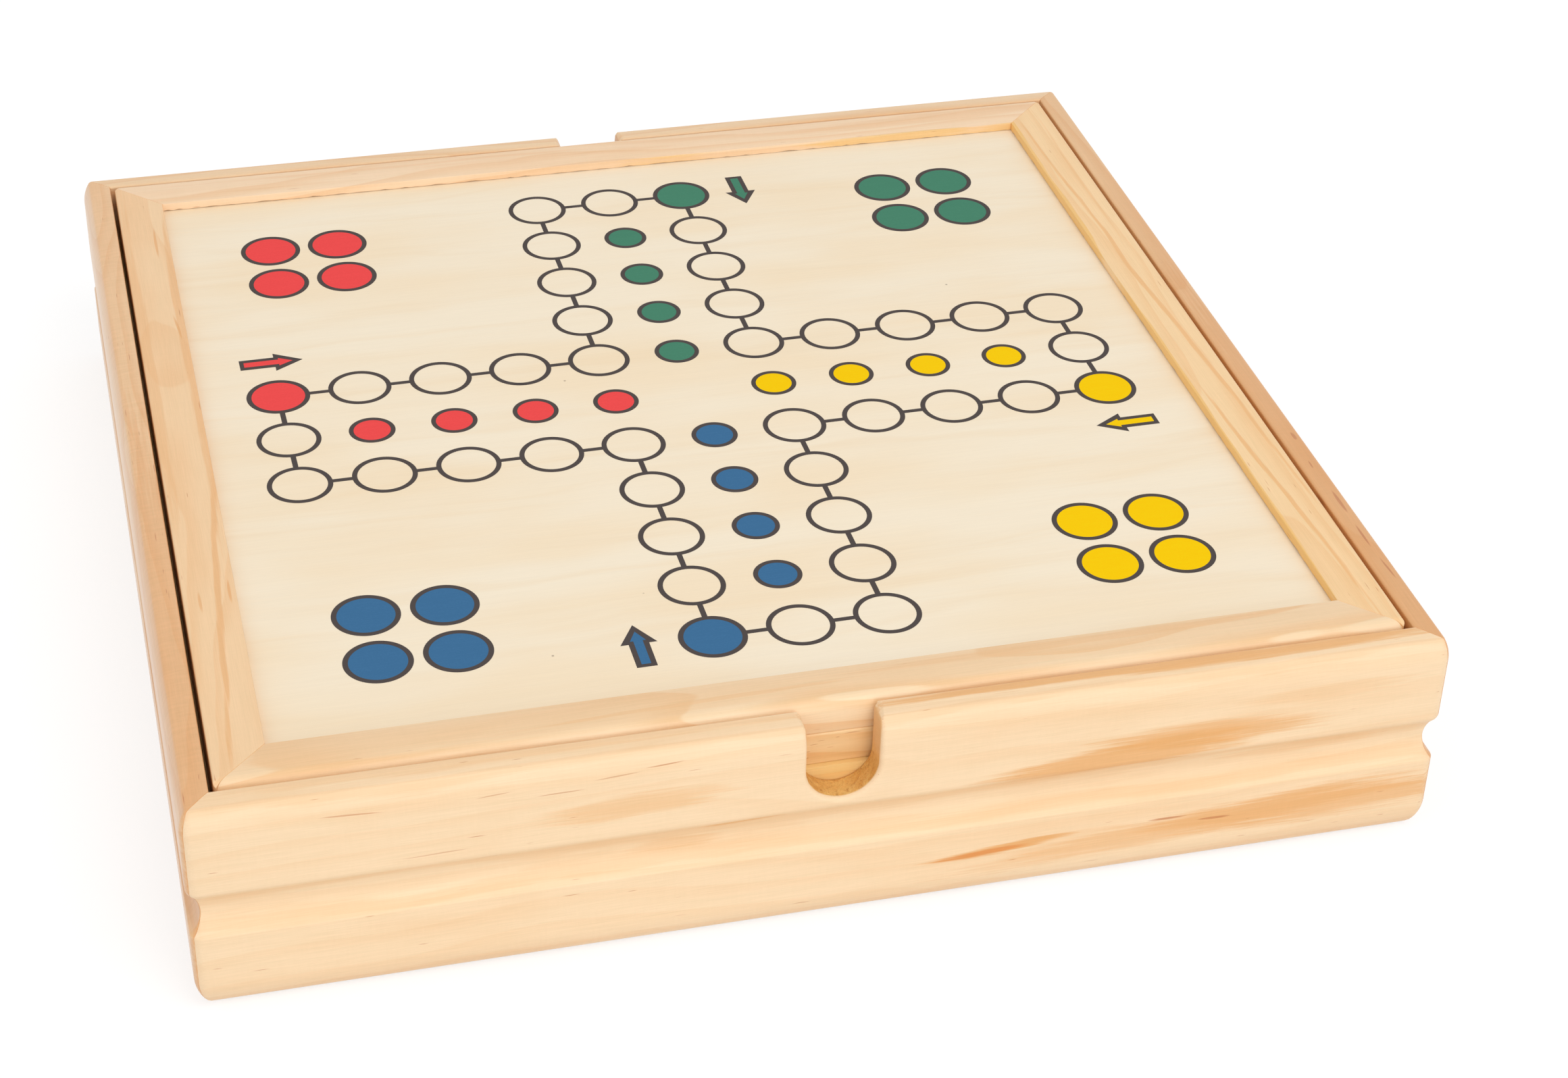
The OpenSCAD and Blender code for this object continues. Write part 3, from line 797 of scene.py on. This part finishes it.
def ludo_print():
    top = LUDO_Z + PANEL_TOP
    outline = Print(top, *PRINT_PLACE)
    fills = {name: Print(top, *PRINT_PLACE) for name in COLORS}

    def field(x, y, inner, outer, fill, ring=True):
        """A round field in steps of the pitch, with its colour under the outline."""
        if fill:
            fill.disc(x * PITCH, y * PITCH, 0.5 * (inner + outer) * PITCH, FILL_INK)
        if ring:
            outline.ring(x * PITCH, y * PITCH, inner * PITCH, outer * PITCH, RING_INK)

    # The track round one arm and into the next, as it runs on the left arm of the cross
    arm = [(-1, 5), (-1, 4), (-1, 3), (-1, 2), (-1, 1), (-2, 1), (-3, 1), (-4, 1), (-5, 1), (-5, 0)]
    track = [turned(x, y, q) for q in range(4) for x, y in arm]
    for i, (x, y) in enumerate(track):
        field(x, y, FIELD_IN, FIELD_OUT, None)
        nx, ny = track[(i + 1) % len(track)]
        ux, uy = nx - x, ny - y
        gap = FIELD_OUT - 0.008
        outline.line((x + ux * gap) * PITCH, (y + uy * gap) * PITCH, (nx - ux * gap) * PITCH,
                     (ny - uy * gap) * PITCH, LINK_W * PITCH, LINK_INK)

    for name, quarters in ARMS.items():
        fill = fills[name]
        field(*turned(-5, 1, quarters), FIELD_IN, FIELD_OUT, fill, ring=False)
        for k in (1, 2, 3, 4):
            field(*turned(-k, 0, quarters), HOME_IN, HOME_OUT, fill)
        for a in YARD:
            for b in YARD:
                field(*turned(-a, b, quarters), FIELD_IN, FIELD_OUT, fill)
        for target, height, tail, shaft, barb, wide, tip in (
                (outline, FILL_INK, -0.375, 0.115, 0.055, 0.207, 0.405),
                (fill, ARROW_INK, -0.322, 0.053, 0.108, 0.090, 0.280)):
            shape = [(tail, -shaft), (barb, -shaft), (barb, -wide), (tip, 0), (barb, wide), (barb, shaft),
                     (tail, shaft)]
            shape = [turned(-5 + u, 1.82 + w, quarters) for u, w in shape]
            target.prism([(x * PITCH, y * PITCH) for x, y in shape], height)

    outline.piece("ludo_outline", "ludo_board", ink("ludo_outline_ink", linear(83, 75, 73), 0.05))
    for name, fill in fills.items():
        fill.piece("ludo_" + name, "ludo_board", ink("ludo_" + name + "_ink", COLORS[name]))


def chequer_print():
    """Eight by eight squares, the dark ones printed, inside a double border line."""
    squares = Print(CHEQUER_Z + PANEL_TOP)
    for column in range(8):
        for row in range(8):
            if (column + row) % 2 == 0:
                x, y = (column - 4) * SQUARE, (row - 4) * SQUARE
                near, far = SQUARE_GAP, SQUARE - SQUARE_GAP
                corners = ((near, near), (far, near), (far, far), (near, far))
                squares.prism([(x + a, y + b) for a, b in corners], SQUARE_INK)
    for reach, width in BORDER_LINES:
        for q in range(4):
            x0, y0 = turned(-reach - width / 2, reach, q)
            x1, y1 = turned(reach - width / 2, reach, q)
            squares.line(x0, y0, x1, y1, width, SQUARE_INK)
    squares.piece("chequer_squares", "chequer_board", ink("chequer_ink", linear(96, 58, 36), 0.12))


# The dice: where each stands (x, y, turn), its hollows, and the number on every face
DICE = ((-22, 96, 20), (9, 84, -32))
DIE_Z = 8 + DIE_W / 2
SPOT_R = 1.5
SPOT_LIFT = 1.0
# The ink's outer and inner face, from the surface of the hollow
SPOT_INK = (0.03, -0.05)
DIE_FACES = ((5, "X", 0), (2, "X", 180), (1, "X", 90), (6, "X", -90), (4, "Y", 90), (3, "Y", -90))
CORNER_SPOTS = [(-1, -1), (1, 1), (-1, 1), (1, -1)]
SPOTS = {1: [(0, 0)], 2: CORNER_SPOTS[:2], 3: [(0, 0)] + CORNER_SPOTS[:2], 4: CORNER_SPOTS,
         5: [(0, 0)] + CORNER_SPOTS, 6: CORNER_SPOTS + [(-1, 0), (1, 0)]}


def spot_shell(points, faces, face, middle):
    """Adds the ink of one spot: a thin closed shell between two caps that follow the hollow."""
    steps, rings = 24, 4
    tilt = math.degrees(math.acos(SPOT_LIFT / SPOT_R)) - 2.0
    first = len(points)
    for extra in SPOT_INK:
        radius = SPOT_R + extra
        points.append(tuple(face @ (middle + Vector((0, 0, -radius)))))
        for ring in range(1, rings + 1):
            t = math.radians(tilt * ring / rings)
            for i in range(steps):
                a = 2 * math.pi * i / steps
                out = Vector((math.sin(t) * math.cos(a), math.sin(t) * math.sin(a), -math.cos(t)))
                points.append(tuple(face @ (middle + radius * out)))
    shell = 1 + rings * steps
    rim = first + 1 + (rings - 1) * steps
    for base in (first, first + shell):
        for i in range(steps):
            n = (i + 1) % steps
            faces.append([base, base + 1 + i, base + 1 + n])
            for ring in range(rings - 1):
                a = base + 1 + ring * steps
                faces.append([a + i, a + steps + i, a + steps + n, a + n])
    for i in range(steps):
        n = (i + 1) % steps
        faces.append([rim + i, rim + shell + i, rim + shell + n, rim + n])


def die_spots():
    """The ink in the hollows of both dice."""
    points, faces = [], []
    for x, y, turn in DICE:
        place = Matrix.Translation((x, y, DIE_Z)) @ Matrix.Rotation(math.radians(turn), 4, "Z")
        for number, axis, angle in DIE_FACES:
            face = place @ Matrix.Rotation(math.radians(angle), 4, axis)
            for sx, sy in SPOTS[number]:
                middle = Vector((sx * DIE_W / 4, sy * DIE_W / 4, DIE_W / 2 + SPOT_LIFT))
                spot_shell(points, faces, face, middle)
    g = Graph("spot_ink")
    shade = g.noise(g.stretch(g.place(), 0.6, 0.6), detail=2.0)
    color = g.mix(shade, linear(34, 32, 36), linear(56, 54, 58))
    material = g.surface(color, g.bump(shade, 0.01, 0.4), roughness=0.3)
    return make_piece("dice_spots", points, faces, "dice", material)


# Wood of every piece. A mark is (x, height or depth, half length, half width, slope, share, colour). Most
# marks are wood figure; the bands noted below are painted shade
WALL_WOOD = {
    "front": dict(
        seed=3, tint=(0.985, 0.965, 0.94), bands=0.16, heart=0.06, flecks=0.32, rings=6.0, pith=(-60, -40),
        coat=0.05, rough=0.5,
        front=(
            (72, 38.6, 36, 4.2, 0.07, 0.75, HEART), (91, 42.2, 33, 3.6, 0.0, 0.60, HEART),
            (96, 14.6, 66, 4.2, 0.08, 0.45, HEART), (60, 14.5, 24, 3.4, 0.0, 0.35, BAND),
            (122, 15.0, 44, 5.5, 0.0, 0.60, HEART),
            (122, 50.0, 22, 2.6, 0.0, 0.35, BAND), (118, 32.5, 22, 2.0, 0.0, 0.35, BAND),
            (40, 15.4, 18, 1.5, 0.06, 0.85, HEART), (36, 15.1, 12, 0.9, 0.05, 0.75, AMBER),
            (83, 17.2, 5, 0.4, 0.0, 0.7, FLECK), (96, 15.2, 4, 0.35, 0.0, 0.6, FLECK),
            (-23, 34.4, 11, 0.7, 0.04, 0.6, HEART), (-40, 29.6, 12, 1.8, 0.0, 0.25, HEART),
            (-50, 45.0, 24, 3.4, 0.03, 0.60, BAND), (-115, 54.2, 7, 0.2, -0.04, 0.5, FLECK),
            (-83, 53.7, 4, 0.17, 0.03, 0.4, FLECK), (-67, 51.5, 5, 0.17, 0.03, 0.45, FLECK),
            (-43, 55.3, 5, 0.2, 0.06, 0.6, FLECK), (-54, 54.0, 5, 0.17, 0.06, 0.45, FLECK),
            (-97, 39.4, 8, 0.18, 0.0, 0.4, FLECK), (-84, 35.5, 4, 0.18, 0.0, 0.35, FLECK),
        ),
        top=((82, 6.2, 84, 2.3, 0.0, 0.75, HEART), (-80, 6.4, 90, 2.3, 0.0, 0.45, BAND),
             # The last band follows the crease of the top along the whole wall: painted shade along the
             # crease
             (0, 1.9, 400, 0.9, 0.0, 0.30, BAND))),
    "right": dict(
        seed=11, tint=(0.86, 0.70, 0.54), bands=0.45, heart=0.30, flecks=0.30, rings=4.0, pith=(40, -30),
        ripple=0.05,
        top=(
            (-80, 4.0, 120, 12, 0.0, 0.45, HEART),
            (-90, 3.7, 5, 0.5, 0.0, 0.55, FLECK), (-88, 7.7, 4, 0.3, 0.0, 0.5, FLECK),
            (-106, 3.9, 5, 0.35, 0.0, 0.6, FLECK), (-121, 3.7, 5, 0.35, 0.0, 0.6, FLECK),
            (-72, 4.5, 2, 0.3, 0.0, 0.5, FLECK), (-58, 3.8, 2, 0.6, 0.0, 0.5, FLECK),
        )),
    "back": dict(
        seed=18, tint=(0.93, 0.85, 0.76), bands=0.5, heart=0.25, flecks=0.25, rings=5.0, pith=(-30, 20)),
    "left": dict(
        seed=25, tint=(0.89, 0.75, 0.60), bands=0.45, heart=0.30, flecks=1.8, rings=3.4, pith=(50, 10),
        ripple=0.14, coat=0.5, top=((90, 5.0, 110, 7, 0.0, 0.4, HEART),)),
}
LUDO_WOOD = {
    "front": dict(
        seed=41, tint=(0.99, 0.97, 0.93), bands=0.6, heart=0.30, flecks=0.15, rings=4.2, pith=(20, 20),
        top=((60, 10.5, 60, 1.6, 0.02, 0.5, BAND), (-30, 6.5, 50, 0.8, 0.03, 0.5, BAND),
             # The last band darkens the flat top along the whole rail and leaves the rounded front edge
             # paler: painted shade on the top
             (0, 8.0, 400, 5.0, 0.0, 0.22, BAND))),
    "right": dict(
        seed=48, tint=(1.0, 0.905, 0.73), bands=0.35, heart=0.15, flecks=0.30, rings=3.8, pith=(34, 28),
        top=(
            (15, 5.8, 122, 0.75, 0.046, 0.85, BAND), (-85, 7.7, 62, 0.75, 0.060, 0.85, BAND),
            # The gold band runs the whole rail along its inner edge and over its inner side: painted shade,
            # with the orange of light bounced off the wood around it
            (95, 4.4, 45, 0.6, 0.0, 0.4, BAND), (0, 13.3, 400, 0.75, 0.0, 0.75, GOLD),
        )),
    "back": dict(
        seed=55, tint=(0.98, 0.95, 0.96), bands=0.45, heart=0.25, flecks=0.15, rings=4.0, pith=(28, 30),
        top=((-110, 4.5, 50, 3.2, 0.03, 0.45, BAND), (60, 3.0, 70, 0.8, 0.0, 0.4, BAND),
             (-90, 13.3, 90, 0.75, 0.0, 0.6, GOLD))),
    "left": dict(
        seed=62, tint=(0.965, 0.87, 0.755), bands=0.35, heart=0.15, flecks=0.25, rings=3.2, pith=(14, 34),
        top=(
            # The first band, along the inner edge beside the panel, is painted shade
            (-40, 12.4, 85, 1.6, 0.0, 0.75, BAND), (75, 8.8, 70, 0.9, -0.065, 0.85, BAND),
            (-40, 1.4, 90, 2.0, 0.0, 0.55, BAND), (-108, 9.2, 9, 0.4, 0.02, 0.6, HEART),
            (-60, 11.0, 7, 0.4, 0.08, 0.6, HEART), (70, 12.0, 5, 0.4, 0.0, 0.6, HEART),
            (73, 4.5, 5, 0.4, 0.02, 0.5, HEART),
        )),
}
# The chequered board's rails are cut from the same wood in another place, and browner
CHEQUER_LOOK = dict(flecks=0.7, tint=(0.94, 0.86, 0.68), top=())
CHEQUER_SEED = 100
CHEQUER_MARKS = {
    "front": dict(front=(
        (-5.0, 47.8, 1.2, 0.10, 0.0, 0.6, FLECK), (-3.2, 48.7, 1.0, 0.08, 0.0, 0.45, FLECK),
        (0.8, 49.2, 0.5, 0.08, 0.0, 0.7, FLECK), (-0.9, 46.4, 0.8, 0.07, 0.0, 0.4, FLECK),
        (-6.7, 45.9, 0.9, 0.10, 0.0, 0.6, FLECK), (-7.0, 44.0, 1.0, 0.12, 0.0, 0.6, FLECK),
    )),
}

RAIL_COLUMNS = 84

for side, turn in TURNS.items():
    notched = side in ("front", "back")
    wood = pine("wall_pine_" + side, turn, notch=notched, **WALL_WOOD[side])
    name = side + "_wall_wood"
    if notched:
        wall = notched_wall(name, turn, wood, turn + 5)
    else:
        section = np.concatenate([outer_profile(), inner_profile()])
        wall = plain_bar(name, section, BOX_HALF, CORNER_R, turn, 0.0, "box", wood)
    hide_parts(side + "_wall")

    for board, lift in (("ludo", LUDO_Z), ("chequer", CHEQUER_Z)):
        edge, front = EDGE_ARRIS_R, 0.0
        look = dict(LUDO_WOOD[side])
        if board == "chequer":
            look.update(CHEQUER_LOOK, seed=look["seed"] + CHEQUER_SEED, **CHEQUER_MARKS.get(side, {}))
        elif side == "front":
            edge = FRONT_EDGE_R
        elif side != "back":
            front = FRONT_EDGE_R
        wood = pine(f"{board}_pine_{side}", turn, half=BOARD_HALF, **look)
        rail = plain_bar(f"{board}_{side}_rail_wood", rail_section(edge), BOARD_HALF, BOARD_CORNER_R, turn,
                         lift, board + "_board", wood, columns=RAIL_COLUMNS, torn=turn, front=front)
        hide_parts(f"{board}_{side}_rail")

ludo_print()
chequer_print()
die_spots()


def dress(node, material):
    """Gives a CAD node its material."""
    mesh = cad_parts[node].data
    mesh.materials.clear()
    mesh.materials.append(material)


STRIP_EDGE = 0.3


def ease_edges(node):
    """Softly rounds the square edges of a sawn strip or sheet."""
    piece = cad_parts[node]
    weld = piece.modifiers.new("weld", "WELD")
    weld.merge_threshold = 1e-5
    bevel = piece.modifiers.new("bevel", "BEVEL")
    bevel.width = STRIP_EDGE * MM
    bevel.segments = 2
    bevel.limit_method = "ANGLE"
    bevel.angle_limit = math.radians(40)


STRIP = dict(tint=(0.97, 0.91, 0.59), bands=0.4, heart=0.15, flecks=0.10, rough=0.5)
for n, (side, turn) in enumerate(TURNS.items()):
    dress(side + "_liner", pine("liner_pine_" + side, turn, seed=80 + n, **STRIP))
    ease_edges(side + "_liner")
for n, (node, turn) in enumerate((("left_divider", 90), ("right_divider", 90), ("cross_divider", 0))):
    dress(node, pine("divider_pine_" + str(n), turn, seed=90 + n, **STRIP))
    ease_edges(node)
dress("ludo_panel", plywood("ludo_veneer", 4))
dress("chequer_panel", plywood("chequer_veneer", 9, (0.99, 0.97, 0.93)))
dress("base_panel", plywood("base_veneer", 14, (0.98, 0.95, 0.90)))

PAWN_PAINT = {
    "red": (linear(217, 58, 56), linear(196, 44, 46)),
    "green": (linear(44, 126, 86), linear(32, 108, 74)),
    "yellow": (linear(248, 196, 22), linear(236, 178, 12)),
    "blue": (linear(46, 100, 158), linear(34, 84, 138)),
}
for name, (color, dark) in PAWN_PAINT.items():
    dress(name + "_pawns", paint(name + "_paint", color, dark))
dress("dice", die_plastic("die_plastic"))
dress("light_draughtsmen", turned_wood("light_turned", linear(238, 204, 154), linear(224, 180, 124), 5))
dress("dark_draughtsmen", turned_wood("dark_turned", linear(104, 62, 38), linear(74, 42, 26), 6))


# Floor, light and camera

WORLD_SOFT = 0.70
FLOOR_REACH = 4.0
FLOOR_GRAY = 0.80
SEEN_GRAY = 0.36
SEEN_GLOW = 0.72

# Lamps: name, place, size in metres and power in watts. They all look at the middle of the box
AIM = (0, 0, 0.03)
LAMPS = (
    ("key", (0.50, -1.35, 1.90), 1.2, 12),
    ("low_front", (0.20, -2.20, 0.60), 1.2, 7.3),
    ("fill", (-1.60, -0.90, 1.30), 1.4, 3),
)

# The camera as fitted to the photograph: millimetres, metres and degrees
SENSOR = 36
LENS = 71.691
CAMERA_PLACE = (-0.16620, -0.70178, 0.50458)
CAMERA_TURN = (55.5478, -1.4153, -14.3272)


def add_to(tree, kind, values=()):
    """A node in a tree, with a value or a link for each of its first inputs. None leaves one as it is."""
    node = tree.nodes.new(kind)
    for socket, value in zip(node.inputs, values):
        if value is not None:
            feed(tree, socket, value)
    return node.outputs[0] if node.outputs else node


def background_rays(tree):
    """1 for the rays that see the background directly, in gloss or through glass."""
    path = tree.nodes.new("ShaderNodeLightPath").outputs
    share = path["Is Camera Ray"]
    for kind in ("Is Glossy Ray", "Is Transmission Ray"):
        share = add_to(tree, "ShaderNodeMath", (share, path[kind]))
        share.node.operation = "MAXIMUM"
    return share


def white_world():
    """A soft white light from all round, and plain white where the background is seen."""
    world = bpy.data.worlds.new("studio")
    bpy.context.scene.world = world
    tree = empty_tree(world)
    soft = add_to(tree, "ShaderNodeBackground", ((1, 1, 1, 1), WORLD_SOFT))
    seen = add_to(tree, "ShaderNodeBackground", ((1, 1, 1, 1), 1.0))
    pick = add_to(tree, "ShaderNodeMixShader", (background_rays(tree), soft, seen))
    add_to(tree, "ShaderNodeOutputWorld", (pick,))


def pale_floor():
    """A pale floor that looks white and keeps the shadow of the box."""
    r = FLOOR_REACH
    mesh = bpy.data.meshes.new("floor")
    mesh.from_pydata([(-r, -r, 0), (r, -r, 0), (r, r, 0), (-r, r, 0)], [], [(0, 1, 2, 3)])
    floor = bpy.data.objects.new("floor", mesh)
    bpy.context.scene.collection.objects.link(floor)
    material = bpy.data.materials.new("floor")
    tree = empty_tree(material)
    plain = add_to(tree, "ShaderNodeBsdfDiffuse", ((FLOOR_GRAY, FLOOR_GRAY, FLOOR_GRAY, 1),))
    shaded = add_to(tree, "ShaderNodeBsdfDiffuse", ((SEEN_GRAY, SEEN_GRAY, SEEN_GRAY, 1),))
    glow = add_to(tree, "ShaderNodeEmission", (None, SEEN_GLOW))
    both = add_to(tree, "ShaderNodeAddShader", (shaded, glow))
    pick = add_to(tree, "ShaderNodeMixShader", (background_rays(tree), plain, both))
    add_to(tree, "ShaderNodeOutputMaterial", (pick,))
    mesh.materials.append(material)


def lamp(name, place, size, power):
    data = bpy.data.lights.new(name, "AREA")
    data.shape = "DISK"
    data.size = size
    data.energy = power
    light = bpy.data.objects.new(name, data)
    light.location = place
    light.rotation_euler = (Vector(AIM) - Vector(place)).to_track_quat("-Z", "Y").to_euler()
    bpy.context.scene.collection.objects.link(light)


white_world()
pale_floor()
for row in LAMPS:
    lamp(*row)

camera_data = bpy.data.cameras.new("camera")
camera_data.sensor_width = SENSOR
camera_data.lens = LENS
camera_data.clip_start = 0.01
camera_data.clip_end = 50
camera = bpy.data.objects.new("camera", camera_data)
camera.location = CAMERA_PLACE
camera.rotation_euler = tuple(math.radians(v) for v in CAMERA_TURN)
bpy.context.scene.collection.objects.link(camera)
bpy.context.scene.camera = camera
bpy.context.scene.view_settings.view_transform = "Standard"
